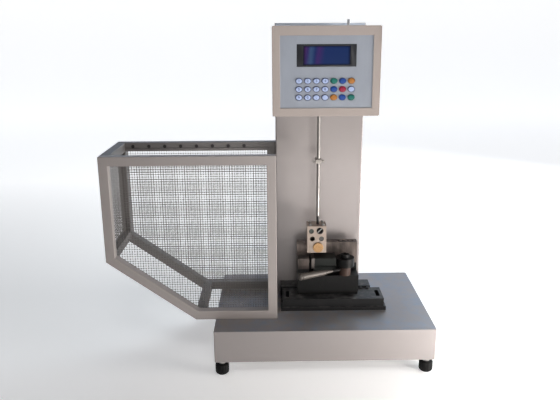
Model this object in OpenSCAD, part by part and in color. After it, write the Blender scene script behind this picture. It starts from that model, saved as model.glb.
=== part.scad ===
// Pendulum impact tester: a hammer on a rod swings from a column past a specimen vise into a mesh guard.
// The modules are drawn in a working frame, where X = 0 is the middle of the base, Y = 0 its front face and
// Z = 0 its top face, with Y running back. placed() moves them to the frame of the part: the middle of the
// outline, on the table.

/* [Base] */
// width of the base
base_w = 430; // [420:2:450]
// depth of the base
base_d = 290; // [288:2:310]
// height of the base's housing
base_h = 65; // [55:1:80]
// height of a levelling foot below the base
foot_h = 30; // [27:1:38]
// diameter of a foot's pad
foot_d = 27; // [25:0.5:30]

/* [Column] */
// width of the column
column_w = 180; // [176:1:186]
// depth of the column
column_d = 90; // [88:1:92]
// thickness of the column's sheet metal
column_wall = 3; // [2:0.5:4]

/* [Control box] */
// width of the control box
box_w = 197; // [190:1:204]
// height of the control box
box_h = 161; // [157:1:168]
// depth of the control box
box_d = 45; // [40:1:47]
// distance between the middles of two keys in a row
key_pitch_x = 15.9; // [15.4:0.1:16.4]
// distance between two rows of keys
key_pitch_z = 14.9; // [14.4:0.1:15.4]
// how far a key moves when pressed
key_travel = 0.5; // [0.4:0.1:0.8]

/* [Pendulum] */
// distance from the pivot to the centre of strike
pendulum_l = 322; // [312:1:332]
// diameter of the pendulum's rod
rod_d = 6.5; // [6:0.1:7]
// diameter of the pendulum's shaft
shaft_d = 10; // [9:0.5:12]
// width of the hammer block
hammer_w = 38.5; // [38:0.5:41]
// height of the hammer block
hammer_h = 56; // [55:0.5:60]
// diameter of the brass weight
weight_d = 21; // [20:0.1:21]

/* [Vise] */
// width of the vise's base plate
vise_base_w = 216; // [212:1:220]
// width of the vise's body
vise_w = 126; // [122:1:128]
// width of the gap for the specimen between the open jaws
jaw_gap = 5.2; // [5:0.1:6]
// diameter of the clamp's cam
cam_d = 38; // [36:0.5:40]
// how far the cam stands off its axis
cam_offset = 2; // [1:0.1:2.2]
// length of the lever's grip
grip_l = 71; // [60:1:78]

/* [Guard] */
// width of the guard
guard_w = 332; // [320:2:344]
// height of the guard
guard_h = 332; // [326:2:338]
// width of the guard's cut corner
guard_cut_w = 170; // [160:2:180]
// height of the guard's cut corner
guard_cut_h = 123.5; // [118:0.5:128]
// size of the guard's square tubes
bar = 18; // [16:0.5:19]
// distance between two wires of the mesh
mesh_pitch = 5; // [5:0.5:10]
// thickness of a wire
wire = 1; // [0.8:0.1:1.2]

/* [Hidden] */
$fn = 32;

// one fit for parts that turn or slide in each other, and one for parts that stand clear of each other
fit = 0.04;
clear = 0.3;

// colours
silver = [0.64, 0.63, 0.63];
slate = [0.42, 0.44, 0.48];
beige = [0.72, 0.70, 0.67];
sky = [0.66, 0.72, 0.80];
steel = [0.75, 0.75, 0.76];
dark = [0.12, 0.12, 0.13];
brass = [0.80, 0.62, 0.33];
bronze = [0.38, 0.27, 0.22];
white = [0.88, 0.89, 0.90];

// base
base_top_t = 20;
base_side_t = 12;
base_corner_r = 2;
boss_d = 26;
foot_inset = foot_d / 2;
foot_x = base_w / 2 - foot_inset;
foot_y = [foot_inset + 1.5, base_d - foot_inset - 1.5];
collar_h = 8;
pad_h = foot_h - collar_h;
pad_chamfer = 4;
pad_flute_n = 12;
pad_flute_d = 3;
stud_d = 10;
stud_l = 32;
collar_d = 14;

// pendulum: the centre of strike stands this high above the base, and the pivot above it
pivot_x = -8;
swing_y = 122;
strike_z = 124;
pivot_z = strike_z + pendulum_l;
hammer_z0 = strike_z - 3;
hammer_z1 = hammer_z0 + hammer_h;
hammer_x0 = pivot_x - 2.75 - hammer_w / 2;
hammer_x1 = hammer_x0 + hammer_w;
hammer_y0 = 104.5;
hammer_y1 = 140;
weight_z = hammer_z0 + 1 + weight_d / 2;
weight_proud = 3;
stud_z1 = hammer_z1 + 17;
rod_stud_d = 5.4;
rod_stud_in = 12;

// the four bores in the hammer's front: X from its left side, Z from its top, diameter, depth, and how
// thick the pin or screw on the bore's floor is; the second holds the slotted screw, the third is empty
hammer_bores = [
    [8.4, 10.4, 10, 3, 1.2], [25.5, 9.5, 13.6, 4, 2.5],
    [10.5, 26.3, 10, 14, 0], [28.7, 26.5, 10, 2.5, 1.2]
];
bore_gap = 1.2;
slot_w = 2.4;
slot_d = 1;
hammer_screw_x = [hammer_x0 + 6.5, hammer_x1 - 6.5];
hammer_screw_y = [hammer_y0 + 7, hammer_y1 - 7];

// hub and catch bar on the rod
hub_d = 30;
hub_y = [110, 134];
catch_r = 139;
catch_block = [11, 24, 8];
catch_pin_l = 22.8;
catch_pin_d = 5;

// column
column_x = -2;
column_x0 = column_x - column_w / 2;
column_x1 = column_x + column_w / 2;
column_y0 = 185;
column_y1 = column_y0 + column_d;
return_w = 14;
cover_t = 2;
cover_inset = 3;
cover_x0 = column_x0 + cover_inset;
cover_x1 = column_x1 - cover_inset;
cover_screw_d = 3;
cover_screw_x = [column_x0 + 9, column_x1 - 9];
column_corner_r = 2.5;

// cable gland: its place in X and Z, thread, nut, cap and hole
gland_at = [40, 45];
gland_d = 12;
gland_in = 12;
gland_nut_d = 19;
gland_nut_h = 5;
gland_cap_d = 15;
gland_hole_d = 6.5;

// bearings and encoder
spigot_d = 24;
housing_d = 46;
flange_d = 66;
housing_l = 48;
flange_t = 6;
housing_y1 = column_y0 + column_wall + housing_l;
bearing_d = 26;
bearing_t = 8;
bearing_y = [column_y0 + column_wall + 2, housing_y1 - 2 - bearing_t];
encoder_d = 39;
encoder_l = 28;
shaft_tail = 20;
shaft_y = [108, housing_y1 + shaft_tail];

// control box, hung from the column above the pivot
box_x = 0.5;
box_x0 = box_x - box_w / 2;
box_x1 = box_x + box_w / 2;
box_y0 = 60;
box_y1 = box_y0 + box_d;
box_drop = 42;
box_z0 = pivot_z - box_drop;
box_z1 = box_z0 + box_h;
column_h = box_z1 + 6;
cover_z = [5, column_h - 5];
cover_screw_z = [14, column_h / 3, column_h * 2 / 3, column_h - 14];
box_wall = 1.5;
box_corner_r = 3;
bezel_side = 14.5;
bezel_low = 15;
bezel_top = 17;
panel_x0 = box_x0 + bezel_side;
panel_x1 = box_x1 - bezel_side;
panel_z0 = box_z0 + bezel_low;
panel_z1 = box_z1 - bezel_top;
panel_lap = 3;
panel_t = 3;
panel_y0 = box_y0 + box_wall;
panel_y1 = panel_y0 + panel_t;
window_w = 108;
window_h = 40;
window_x0 = box_x - window_w / 2;
window_x1 = box_x + window_w / 2;
window_z1 = panel_z1 - 15;
window_z0 = window_z1 - window_h;
window_lap = 2;
lcd_margin = 7;
lcd_x0 = window_x0 + lcd_margin;
lcd_x1 = window_x1 - lcd_margin;
lcd_t = 6;
board_t = 1.6;
bracket_w = 64;
bracket_h = 17;
bracket_off = 42;
bracket_x0 = pivot_x - bracket_off;
bracket_x1 = bracket_x0 + bracket_w;
bracket_down = 5;
bracket_z1 = box_z1 - bracket_down;
bracket_z0 = bracket_z1 - bracket_h;
bracket_t = 4;

// keys
key_w = 13;
key_h = 10.5;
key_proud = 2;
key_flange = [14.6, 12.1, 1.5];
key_cols = 7;
key_rows = 3;
key_off_x = 2.1;
key_off_z = 19.2;
key_x0 = box_x - key_off_x - (key_cols - 1) / 2 * key_pitch_x;
key_z0 = panel_z0 + key_off_z + (key_rows - 1) * key_pitch_z;

// release latch: a pin on a cross axle, held by two lugs of the column
latch_off = [57.5, 44];
latch_x = pivot_x + latch_off[0];
latch_y = 150;
latch_z = pivot_z + latch_off[1];
latch_d = 6.2;
latch_top = column_h + 6;
barrel_d = 12;
barrel_w = 7;
lug_t = 5.5;
lug_h = 20;
axle_d = 4;
axle_l = barrel_w + 2 * (clear + lug_t);

// vise
vise_plate_x0 = -84;
vise_plate_x1 = vise_plate_x0 + vise_base_w;
vise_plate_y = [88, 184];
vise_plate_t = 8;
slab_in = 4;
slab_x1 = vise_plate_x1 - slab_in;
slab_x0 = vise_plate_x0 + slab_in;
slab_y = [92, 150];
slab_z1 = 24;
rear_plate_in = 24;
rear_plate_x1 = vise_plate_x1 - rear_plate_in;
rear_plate_z1 = 28;
vise_slot = [8, 30];
vise_slot_in = 14;
vise_slot_x = [vise_plate_x0 + vise_slot_in, vise_plate_x1 - vise_slot_in];
vise_slot_y = 120;
vise_x0 = -49;
vise_x1 = vise_x0 + vise_w;
vise_y0 = 110;
vise_y1 = 165;
wall_y0 = 145;
undercut_z1 = 34;
undercut_y0 = 118;
ledge_z = 68;
recess_z1 = 90;
recess_y1 = 126;
jaw_z1 = 106;
wall_z1 = 129;
plate_t = 6;
plate_z0 = 84;
plate_x0 = -20.8;
fixed_jaw_x1 = plate_x0 - jaw_gap;
moving_x0 = plate_x0 + plate_t;
cam_x = 49;
cam_y = 118;
moving_x1 = cam_x - cam_d / 2 - clear;
cam_z = [87, 105];
cam_hub_d = 24;
cam_stud_d = 10;
cam_stud_l = 18;
cam_head_d = 18;
cam_head_h = 7.5;
hex_d = 10;
hex_floor = 2;
lever_z = 80;
lever_turn = 204;
neck_d = 6;
neck_in = 6;
neck_r0 = cam_hub_d / 2 - neck_in;
neck_r1 = 36;
grip_d = [10, 14.5];
slab_screw_off = [10.5, 25];
slab_screw_x = [for (off = slab_screw_off) vise_x1 + off];
slab_screw_y = 145;
wall_screw_n = 4;
wall_screw_pitch = 9.7;
wall_screw_end = 8.9;
wall_screw_x = [for (i = [0:wall_screw_n - 1]) vise_x1 - wall_screw_end - i * wall_screw_pitch];
wall_screw_y = (wall_y0 + vise_y1) / 2;
head_d = 6;
head_h = 3;
screw_d = 3.5;
screw_l = 6;
sunk_d = 7;
sunk_h = 4;

// guard, with its wire panels inside and a row of pan head screws along the top of its rear frame
guard_x1 = column_x0;
guard_x0 = guard_x1 - guard_w;
guard_y = [54, 222];
inside_y = [guard_y[0] + bar, guard_y[1] - bar];
tube_wall = 1.5;
mesh_lap = 6;
mesh_gap = 0.2;
mesh_t = 2 * wire + mesh_gap;
side_in = 3;
side_rim = 4;
guard_screw_n = 8;
guard_screw_end = [34, 66];
guard_screw_z = guard_h - bar / 2 + 1.5;
pan_d = 7;
pan_h = 1.6;
guard_screw_pitch = (guard_w - guard_screw_end[0] - guard_screw_end[1]) / (guard_screw_n - 1);
guard_screw_x = [for (i = [0:guard_screw_n - 1]) guard_x0 + guard_screw_end[0] + i * guard_screw_pitch];

// the outline of the machine, which the origin is taken from
out_x0 = guard_x0;
out_x1 = base_w / 2;
origin = [-(out_x0 + out_x1) / 2, -base_d / 2, base_h + foot_h];

module placed() {
    translate(origin) children();
}

// a box between two corners
module block(low, high) {
    translate(low) cube(high - low);
}

// round bars along each axis
module bar_x(x0, x1, y, z, d) {
    translate([x0, y, z]) rotate([0, 90, 0]) cylinder(h = x1 - x0, d = d);
}

module bar_y(x, y0, y1, z, d) {
    translate([x, y1, z]) rotate([90, 0, 0]) cylinder(h = y1 - y0, d = d);
}

module bar_z(x, y, z0, z1, d) {
    translate([x, y, z0]) cylinder(h = z1 - z0, d = d);
}

// a flat shape drawn in X and Z, from y0 back to y1
module upright(y0, y1) {
    translate([0, y1, 0]) rotate([90, 0, 0]) linear_extrude(y1 - y0) children();
}

// a rectangle between two corners, with round corners
module rounded(x0, y0, x1, y1, r) {
    translate([x0 + r, y0]) square([x1 - x0 - 2 * r, y1 - y0]);
    translate([x0, y0 + r]) square([x1 - x0, y1 - y0 - 2 * r]);
    for (x = [x0 + r, x1 - r], y = [y0 + r, y1 - r]) translate([x, y]) circle(r);
}

// an oval that is longer along its first side
module oval(size) {
    square([size[0] - size[1], size[1]], center = true);
    for (s = [-1, 1]) translate([s * (size[0] - size[1]) / 2, 0]) circle(d = size[1]);
}

// a socket head screw that points down from z, with its head above
module cap_screw(x, y, z, d, h) {
    difference() {
        union() {
            bar_z(x, y, z, z + h, d, $fn = 20);
            bar_z(x, y, z - screw_l, z, screw_d, $fn = 16);
        }
        translate([x, y, z + h / 3]) cylinder(h = h, d = d / 2, $fn = 6);
    }
}

module screw_hole(x, y, z) {
    bar_z(x, y, z - screw_l - clear, z + 1, screw_d + 2 * fit, $fn = 16);
}

module base_housing() {
    color(silver) placed() difference() {
        union() {
            difference() {
                translate([0, 0, -base_h]) linear_extrude(base_h)
                    rounded(-base_w / 2, 0, base_w / 2, base_d, base_corner_r);
                block([-base_w / 2 + base_side_t, base_side_t, -base_h - 1],
                      [base_w / 2 - base_side_t, base_d - base_side_t, -base_top_t]);
            }
            for (x = [-foot_x, foot_x], y = foot_y) bar_z(x, y, -base_h, -base_top_t, boss_d);
        }
        for (x = [-foot_x, foot_x], y = foot_y)
            bar_z(x, y, -base_h - 1, -base_h + stud_l + clear, stud_d + 2 * fit);
    }
}

module foot(x, y) {
    color(dark) placed() translate([x, y, -base_h - foot_h]) {
        difference() {
            rotate_extrude() polygon([
                [0, 0], [foot_d / 2 - pad_chamfer, 0], [foot_d / 2, pad_chamfer],
                [foot_d / 2, pad_h - pad_chamfer / 2], [foot_d / 2 - pad_chamfer, pad_h], [0, pad_h]
            ]);
            for (i = [0:pad_flute_n - 1]) rotate(i * 360 / pad_flute_n)
                translate([foot_d / 2 + pad_flute_d / 5, 0, -1])
                    cylinder(h = pad_h + 2, d = pad_flute_d, $fn = 14);
        }
        cylinder(h = foot_h, d = collar_d);
        cylinder(h = foot_h + stud_l, d = stud_d);
    }
}

module column_shell() {
    color(silver) placed() {
        difference() {
            linear_extrude(column_h) rounded(column_x0, column_y0, column_x1, column_y1, column_corner_r);
            block([column_x0 + column_wall, column_y0 + column_wall, -1],
                  [column_x1 - column_wall, column_y1 - column_wall, column_h - column_wall]);
            block([column_x0 + return_w, column_y1 - column_wall - 1, return_w],
                  [column_x1 - return_w, column_y1 + 1, column_h - return_w]);
            bar_y(pivot_x, column_y0 - 1, column_y0 + column_wall + 1, pivot_z, spigot_d + 2 * fit);
            for (x = cover_screw_x, z = cover_screw_z)
                bar_y(x, column_y1 - column_wall - 1, column_y1 + 1, z, cover_screw_d + 2 * fit, $fn = 16);
        }
        for (s = [-1, 1]) difference() {
            translate([latch_x + s * (barrel_w + lug_t + 2 * clear) / 2 - lug_t / 2, 0, 0])
                block([0, latch_y - barrel_d / 2, latch_z - lug_h / 2],
                      [lug_t, column_y0, latch_z + lug_h / 2]);
            bar_x(latch_x - axle_l, latch_x + axle_l, latch_y, latch_z, axle_d + 2 * fit, $fn = 16);
        }
    }
}

module rear_cover() {
    color(silver) placed() difference() {
        block([cover_x0, column_y1, cover_z[0]], [cover_x1, column_y1 + cover_t, cover_z[1]]);
        for (x = cover_screw_x, z = cover_screw_z)
            bar_y(x, column_y1 - 1, column_y1 + cover_t + 1, z, cover_screw_d + 2 * fit, $fn = 16);
        bar_y(gland_at[0], column_y1 - 1, column_y1 + cover_t + 1, gland_at[1], gland_d + 2 * fit);
    }
}

module cable_gland() {
    y = column_y1 + cover_t;
    color(dark) placed() difference() {
        union() {
            bar_y(gland_at[0], y - gland_in, y, gland_at[1], gland_d);
            bar_y(gland_at[0], y, y + gland_nut_h, gland_at[1], gland_nut_d, $fn = 6);
            bar_y(gland_at[0], y + gland_nut_h, y + 2 * gland_nut_h, gland_at[1], gland_cap_d);
        }
        bar_y(gland_at[0], y - gland_in - 1, y + 2 * gland_nut_h + 1, gland_at[1], gland_hole_d, $fn = 20);
    }
}

module bearing_housing() {
    y = column_y0 + column_wall;
    color(steel) placed() difference() {
        union() {
            bar_y(pivot_x, column_y0, y, pivot_z, spigot_d);
            bar_y(pivot_x, y, y + flange_t, pivot_z, flange_d);
            bar_y(pivot_x, y, housing_y1, pivot_z, housing_d);
        }
        bar_y(pivot_x, column_y0 - 1, y + 3, pivot_z, shaft_d + 1);
        bar_y(pivot_x, bearing_y[0], housing_y1 + 1, pivot_z, bearing_d + 2 * fit);
    }
}

module bearings() {
    color(steel) placed() for (y = bearing_y) difference() {
        bar_y(pivot_x, y, y + bearing_t, pivot_z, bearing_d);
        bar_y(pivot_x, y - 1, y + bearing_t + 1, pivot_z, shaft_d + 2 * fit);
    }
}

module encoder() {
    color(dark) placed() difference() {
        bar_y(pivot_x, housing_y1, housing_y1 + encoder_l, pivot_z, encoder_d);
        bar_y(pivot_x, housing_y1 - 1, shaft_y[1] + clear, pivot_z, shaft_d + 2 * fit);
    }
}

module box_shell() {
    color(beige) placed() difference() {
        upright(box_y0, box_y1) rounded(box_x0, box_z0, box_x1, box_z1, box_corner_r);
        block([box_x0 + box_wall, panel_y0, box_z0 + box_wall],
              [box_x1 - box_wall, box_y1 - box_wall, box_z1 - box_wall]);
        block([panel_x0, box_y0 - 1, panel_z0], [panel_x1, panel_y0 + 1, panel_z1]);
    }
}

module key_place(row, col) {
    translate([key_x0 + (col - 1) * key_pitch_x, 0, key_z0 - (row - 1) * key_pitch_z]) children();
}

module front_panel() {
    color(sky) placed() difference() {
        block([panel_x0 - panel_lap, panel_y0, panel_z0 - panel_lap],
              [panel_x1 + panel_lap, panel_y1, panel_z1 + panel_lap]);
        block([window_x0, panel_y0 - 1, window_z0], [window_x1, panel_y1 + 1, window_z1]);
        for (row = [1:key_rows], col = [1:key_cols]) key_place(row, col)
            upright(panel_y0 - 1, panel_y1 + 1) oval([key_w + 2 * clear, key_h + 2 * clear], $fn = 20);
    }
}

module display_window() {
    color(dark) placed() {
        block([window_x0 + fit, panel_y0 + 0.5, window_z0 + fit],
              [window_x1 - fit, panel_y1, window_z1 - fit]);
        block([window_x0 - window_lap, panel_y1, window_z0 - window_lap],
              [window_x1 + window_lap, panel_y1 + 1, window_z1 + window_lap]);
    }
}

module lcd_module() {
    y = panel_y1 + 1;
    color(slate) placed() {
        block([lcd_x0, y, window_z0 + 1], [lcd_x1, y + lcd_t, window_z1 - 1]);
        block([window_x0 - 3, y + lcd_t, window_z0 - 4], [window_x1 + 3, y + lcd_t + board_t, window_z1 + 4]);
    }
}

module box_bracket() {
    color(silver) placed() {
        block([bracket_x0, box_y1, bracket_z0], [bracket_x1, box_y1 + bracket_t, bracket_z1]);
        block([bracket_x0, column_y0 - bracket_t, bracket_z0], [bracket_x1, column_y0, bracket_z1]);
        block([bracket_x0, box_y1, bracket_z0 + bracket_h / 3],
              [bracket_x1, column_y0, bracket_z0 + bracket_h / 3 + bracket_t]);
    }
}

module key(row, col) {
    color(white) placed() key_place(row, col) {
        upright(panel_y0 - key_proud, panel_y1) oval([key_w, key_h], $fn = 20);
        block([-key_flange[0] / 2, panel_y1, -key_flange[1] / 2],
              [key_flange[0] / 2, panel_y1 + key_flange[2], key_flange[1] / 2]);
    }
}

module pendulum_shaft() {
    color(steel) placed() {
        bar_y(pivot_x, shaft_y[0], shaft_y[1], pivot_z, shaft_d);
        bar_y(pivot_x, hub_y[1], column_y0 - 0.5, pivot_z, shaft_d + 6);
    }
}

module pendulum_hub() {
    color(steel) placed() difference() {
        bar_y(pivot_x, hub_y[0], hub_y[1], pivot_z, hub_d);
        bar_y(pivot_x, hub_y[0] - 1, hub_y[1] + 1, pivot_z, shaft_d + 2 * fit);
        bar_z(pivot_x, swing_y, pivot_z - hub_d, pivot_z, rod_d + 2 * fit);
    }
}

module pendulum_rod() {
    color(steel) placed() bar_z(pivot_x, swing_y, stud_z1, pivot_z - shaft_d / 2 - 1, rod_d);
}

module catch_bar() {
    color(steel) placed() translate([pivot_x, swing_y, pivot_z - catch_r]) difference() {
        union() {
            translate([-catch_block[0] / 2, -6, -catch_block[2] / 2]) cube(catch_block);
            bar_x(-catch_pin_l / 2, catch_pin_l / 2, 0, 0, catch_pin_d, $fn = 20);
        }
        bar_z(0, 0, -catch_block[2], catch_block[2], rod_d + 2 * fit);
    }
}

module rod_stud() {
    color(dark) placed() bar_z(pivot_x, swing_y, hammer_z1 - rod_stud_in, stud_z1, rod_stud_d);
}

module hammer_block() {
    color(steel) placed() difference() {
        block([hammer_x0, hammer_y0, hammer_z0], [hammer_x1, hammer_y1, hammer_z1]);
        for (b = hammer_bores)
            bar_y(hammer_x0 + b[0], hammer_y0 - 1, hammer_y0 + b[3], hammer_z1 - b[1], b[2]);
        bar_y(pivot_x, hammer_y0 - 1, hammer_y1 + 1, weight_z, weight_d + 2 * fit);
        bar_z(pivot_x, swing_y, hammer_z1 - rod_stud_in, hammer_z1 + 1, rod_stud_d + 2 * fit);
        for (x = hammer_screw_x, y = hammer_screw_y) screw_hole(x, y, hammer_z1);
    }
}

module hammer_screws() {
    slotted = hammer_bores[1];
    color(steel) placed() {
        for (x = hammer_screw_x, y = hammer_screw_y) cap_screw(x, y, hammer_z1, head_d, head_h);
        difference() {
            for (b = hammer_bores) if (b[4] > 0)
                bar_y(hammer_x0 + b[0], hammer_y0 + b[3] - b[4], hammer_y0 + b[3],
                      hammer_z1 - b[1], b[2] - bore_gap);
            translate([hammer_x0 + slotted[0], hammer_y0 + slotted[3] - slotted[4], hammer_z1 - slotted[1]])
                rotate([0, 45, 0]) cube([slot_w, 2 * slot_d, slotted[2]], center = true);
        }
    }
}

module hammer_weight() {
    color(brass) placed() bar_y(pivot_x, hammer_y0 - weight_proud, hammer_y1, weight_z, weight_d);
}

module release_latch() {
    color(steel) placed() {
        bar_x(latch_x - barrel_w / 2, latch_x + barrel_w / 2, latch_y, latch_z, barrel_d);
        bar_x(latch_x - axle_l / 2, latch_x + axle_l / 2, latch_y, latch_z, axle_d, $fn = 16);
        bar_z(latch_x, latch_y, latch_z, latch_top, latch_d);
    }
}

module vise_base() {
    color(dark) placed() difference() {
        union() {
            block([vise_plate_x0, vise_plate_y[0], 0], [vise_plate_x1, slab_y[1], vise_plate_t]);
            block([slab_x0, slab_y[0], 0], [slab_x1, slab_y[1], slab_z1]);
            block([vise_plate_x0, slab_y[1], 0], [rear_plate_x1, vise_plate_y[1], rear_plate_z1]);
        }
        for (x = vise_slot_x) translate([x, vise_slot_y, -1])
            linear_extrude(slab_z1 + 2) rotate(90) oval([vise_slot[1], vise_slot[0]]);
        for (x = slab_screw_x) screw_hole(x, slab_screw_y, slab_z1);
    }
}

module vise_body() {
    color(dark) placed() difference() {
        union() {
            block([vise_x0, undercut_y0, slab_z1], [vise_x1, slab_y[1], undercut_z1]);
            block([vise_x0, slab_y[1], rear_plate_z1], [vise_x1, vise_y1, undercut_z1]);
            block([vise_x0, vise_y0, undercut_z1], [vise_x1, vise_y1, ledge_z]);
            block([vise_x0, vise_y0, ledge_z], [fixed_jaw_x1, vise_y1, jaw_z1]);
            block([vise_x0, wall_y0, ledge_z], [vise_x1, vise_y1, wall_z1]);
        }
        bar_z(cam_x, cam_y, ledge_z - cam_stud_l - clear, ledge_z + 1, cam_stud_d + 2 * fit);
        for (x = wall_screw_x) {
            bar_z(x, wall_screw_y, wall_z1 - sunk_h - 1, wall_z1 + 1, sunk_d, $fn = 20);
            screw_hole(x, wall_screw_y, wall_z1 - sunk_h - 1);
        }
    }
}

module moving_jaw() {
    color(dark) placed() {
        block([moving_x0, vise_y0, recess_z1], [moving_x1, wall_y0 - clear, jaw_z1]);
        block([moving_x0, recess_y1, ledge_z], [moving_x1, wall_y0 - clear, recess_z1]);
    }
}

module jaw_plate() {
    color(steel) placed() block([plate_x0, vise_y0, plate_z0], [moving_x0, wall_y0 - clear, jaw_z1]);
}

module clamp_cam() {
    color(bronze) placed() difference() {
        union() {
            bar_z(cam_x, cam_y + cam_offset, cam_z[0], cam_z[1], cam_d);
            bar_z(cam_x, cam_y, ledge_z, cam_z[0], cam_hub_d);
            bar_z(cam_x, cam_y, ledge_z - cam_stud_l, ledge_z, cam_stud_d);
            bar_z(cam_x, cam_y, cam_z[1], cam_z[1] + cam_head_h, cam_head_d);
        }
        translate([cam_x, cam_y, cam_z[1] + hex_floor]) cylinder(h = cam_head_h, d = hex_d, $fn = 6);
        translate([cam_x, cam_y, lever_z]) rotate(lever_turn)
            bar_x(neck_r0, cam_hub_d, 0, 0, neck_d + 2 * fit, $fn = 20);
    }
}

module clamp_lever() {
    color(steel) placed() translate([cam_x, cam_y, lever_z]) rotate([0, 90, lever_turn]) {
        translate([0, 0, neck_r0]) cylinder(h = neck_r1 - neck_r0, d = neck_d);
        translate([0, 0, neck_r1]) rotate_extrude() polygon([
            [0, 0], [grip_d[0] / 2 - 1, 0], [grip_d[0] / 2, 2], [grip_d[1] / 2, grip_l - 4],
            [grip_d[1] / 2 - 0.8, grip_l - 1.2], [grip_d[1] / 2 - 3, grip_l], [0, grip_l]
        ]);
    }
}

// the guard's outline in X and Z, set in by t on all sides; its lower left corner is cut off
cut_x = guard_x0 + guard_cut_w;
cut_run = norm([guard_cut_w, guard_cut_h]);
cut_n = [guard_cut_h, guard_cut_w] / cut_run;
function low_x(t) = cut_x + t * (1 - cut_n[1]) / cut_n[0];
function low_z(x, t) = max(t, (t - cut_n[0] * (x - cut_x)) / cut_n[1]);
function low_left(z, t) = max(guard_x0 + t, cut_x + (t - cut_n[1] * z) / cut_n[0]);
function outline(t) = [
    [guard_x0 + t, guard_h - t], [guard_x0 + t, low_z(guard_x0 + t, t)], [low_x(t), t],
    [guard_x1 - t, t], [guard_x1 - t, guard_h - t]
];

module ring(t0, t1) {
    difference() {
        polygon(outline(t0));
        polygon(outline(t1));
    }
}

module guard_ring(y0) {
    difference() {
        upright(y0, y0 + bar) ring(0, bar);
        upright(y0 + tube_wall, y0 + bar - tube_wall) ring(tube_wall, bar - tube_wall);
    }
}

module guard_front() {
    color(beige) placed() guard_ring(guard_y[0]);
}

module guard_rear() {
    color(slate) placed() difference() {
        guard_ring(inside_y[1]);
        for (x = guard_screw_x)
            bar_y(x, inside_y[1] - 1, inside_y[1] + tube_wall + 1, guard_screw_z,
                  screw_d + 2 * fit, $fn = 16);
    }
}

module cross_bar(x0, z0) {
    difference() {
        block([x0, inside_y[0], z0], [x0 + bar, inside_y[1], z0 + bar]);
        block([x0 + tube_wall, inside_y[0] - 1, z0 + tube_wall],
              [x0 + bar - tube_wall, inside_y[1] + 1, z0 + bar - tube_wall]);
    }
}

// four tubes between the two frames, notched at their ends for the rims of the wire panels
module guard_cross_bars() {
    color(slate) placed() difference() {
        union() {
            cross_bar(guard_x0, guard_h - bar);
            cross_bar(guard_x0, guard_cut_h);
            cross_bar(cut_x, 0);
            cross_bar(guard_x1 - bar, 0);
        }
        upright(inside_y[0] - 1, inside_y[0] + mesh_t) polygon(outline(bar - mesh_lap));
        upright(inside_y[1] - mesh_t, inside_y[1] + 1) polygon(outline(bar - mesh_lap));
    }
}

// wires stand at an even pitch between two ends
function steps(a, b) =
    let(n = floor((b - a) / mesh_pitch), s = (b - a) / n)
    [for (i = [1:n - 1]) a + i * s];

module flat_mesh(y0) {
    t = bar - mesh_lap / 2;
    upright(y0, y0 + mesh_t) ring(bar - mesh_lap, bar - 0.5);
    for (x = steps(guard_x0 + bar, guard_x1 - bar))
        block([x - wire / 2, y0, low_z(x, t)], [x + wire / 2, y0 + wire, guard_h - t]);
    for (z = steps(bar, guard_h - bar))
        block([low_left(z, t), y0 + wire + mesh_gap, z - wire / 2],
              [guard_x1 - t, y0 + mesh_t, z + wire / 2]);
}

module mesh_front() {
    color(steel) placed() flat_mesh(inside_y[0]);
}

module mesh_rear() {
    color(steel) placed() flat_mesh(inside_y[1] - mesh_t);
}

// the side panel fills the gap between the two frames and the two cross bars on the left
module mesh_side() {
    x0 = guard_x0 + side_in;
    y0 = inside_y[0];
    y1 = inside_y[1];
    z0 = guard_cut_h + bar;
    z1 = guard_h - bar;
    lap = side_rim / 2;
    color(steel) placed() {
        difference() {
            block([x0, y0, z0], [x0 + mesh_t, y1, z1]);
            block([x0 - 1, y0 + side_rim, z0 + side_rim], [x0 + mesh_t + 1, y1 - side_rim, z1 - side_rim]);
        }
        for (y = steps(y0 + side_rim, y1 - side_rim))
            block([x0, y - wire / 2, z0 + lap], [x0 + wire, y + wire / 2, z1 - lap]);
        for (z = steps(z0 + side_rim, z1 - side_rim))
            block([x0 + wire + mesh_gap, y0 + lap, z - wire / 2], [x0 + mesh_t, y1 - lap, z + wire / 2]);
    }
}

module cap_screws() {
    color(dark) placed() {
        for (x = slab_screw_x) cap_screw(x, slab_screw_y, slab_z1, head_d, head_h);
        for (x = wall_screw_x) cap_screw(x, wall_screw_y, wall_z1 - sunk_h - 1, head_d, sunk_h);
        for (x = guard_screw_x) {
            bar_y(x, inside_y[1] - pan_h, inside_y[1], guard_screw_z, pan_d, $fn = 20);
            bar_y(x, inside_y[1], inside_y[1] + screw_l, guard_screw_z, screw_d, $fn = 16);
        }
    }
}

module cover_screws() {
    y = column_y1 + cover_t;
    color(steel) placed() for (x = cover_screw_x, z = cover_screw_z) {
        bar_y(x, y, y + 2.2, z, 2 * cover_screw_d, $fn = 20);
        bar_y(x, column_y1 - column_wall - 3, y, z, cover_screw_d, $fn = 16);
    }
}

base_housing();
foot(-foot_x, foot_y[0]);  // foot_fl
foot(foot_x, foot_y[0]);  // foot_fr
foot(-foot_x, foot_y[1]);  // foot_rl
foot(foot_x, foot_y[1]);  // foot_rr
column_shell();
rear_cover();
cable_gland();
bearing_housing();
bearings();
encoder();
box_shell();
front_panel();
display_window();
lcd_module();
box_bracket();
pendulum_shaft();
pendulum_hub();
pendulum_rod();
catch_bar();
rod_stud();
hammer_block();
hammer_screws();
hammer_weight();
release_latch();
vise_base();
vise_body();
moving_jaw();
jaw_plate();
clamp_cam();
clamp_lever();
guard_front();
guard_rear();
guard_cross_bars();
mesh_front();
mesh_rear();
mesh_side();
cap_screws();
cover_screws();
key(1, 1);  // key_11
key(1, 2);  // key_12
key(1, 3);  // key_13
key(1, 4);  // key_14
key(1, 5);  // key_15
key(1, 6);  // key_16
key(1, 7);  // key_17
key(2, 1);  // key_21
key(2, 2);  // key_22
key(2, 3);  // key_23
key(2, 4);  // key_24
key(2, 5);  // key_25
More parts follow.
